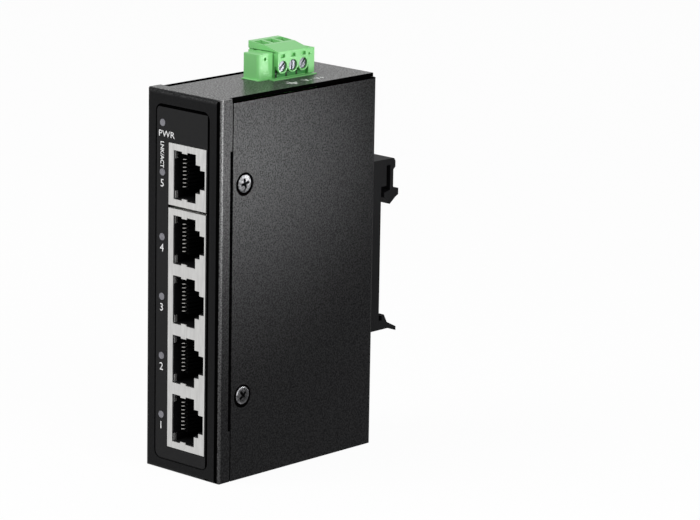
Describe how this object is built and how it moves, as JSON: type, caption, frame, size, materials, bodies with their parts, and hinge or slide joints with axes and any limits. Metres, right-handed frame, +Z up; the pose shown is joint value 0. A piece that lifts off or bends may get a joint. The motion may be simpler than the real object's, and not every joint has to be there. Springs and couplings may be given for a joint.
{
  "type": "din rail ethernet switch",
  "caption": "Compact industrial network switch in a folded black steel case, with a column of shielded sockets, a pluggable green power terminal on top and a rail clip behind.",
  "frame": {"origin": "middle of the part's footprint, on the plane that the case stands on", "axes": "+Z up the case, +X to the right seen from the sockets, +Y from the sockets back towards the rail clip"},
  "size_m": [0.0262, 0.0688, 0.1089],
  "materials": {
    "case_paint": "satin black powder coat with a fine grain",
    "label_film": "matt black printed film",
    "zinc_screw": "dark nickel plated cross-recess screws",
    "jack_shield": "bright tinned sheet",
    "black_plastic": "moulded black nylon",
    "gold_contact": "gold-flashed contact wire",
    "light_pipe": "frosted clear acrylic",
    "lamp_chip": "clear lamp package",
    "circuit_board": "green solder mask",
    "brass_post": "turned brass",
    "chip_resin": "moulded epoxy",
    "aluminium_can": "drawn aluminium can",
    "terminal_green": "light green moulded polyamide",
    "tinned_pin": "tinned brass pin",
    "clamp_steel": "zinc plated steel"
  },
  "bodies": {
    "root": {"front_tray": "case_paint", "wrap_cover": "case_paint", "front_label": "label_film", "case_screws": "zinc_screw", "case_nuts": "zinc_screw", "single_jack_shell": "jack_shield", "quad_jack_shell": "jack_shield", "single_jack_housing": "black_plastic", "quad_jack_housing": "black_plastic", "single_jack_contacts": "gold_contact", "quad_jack_contacts": "gold_contact", "light_pipes": "light_pipe", "lamp_chips": "lamp_chip", "main_board": "circuit_board", "board_standoffs": "brass_post", "board_screws": "zinc_screw", "switch_chip": "chip_resin", "power_converter": "chip_resin", "line_transformers": "chip_resin", "power_capacitor": "aluminium_can", "power_choke": "chip_resin", "crystal": "aluminium_can", "power_header": "terminal_green", "header_pins": "tinned_pin", "power_plug": "terminal_green", "clamp_screws": "clamp_steel", "clamp_cages": "clamp_steel", "plug_contacts": "tinned_pin", "rail_clip": "black_plastic", "clip_screws": "zinc_screw", "clip_nuts": "zinc_screw"}
  },
  "joints": []
}
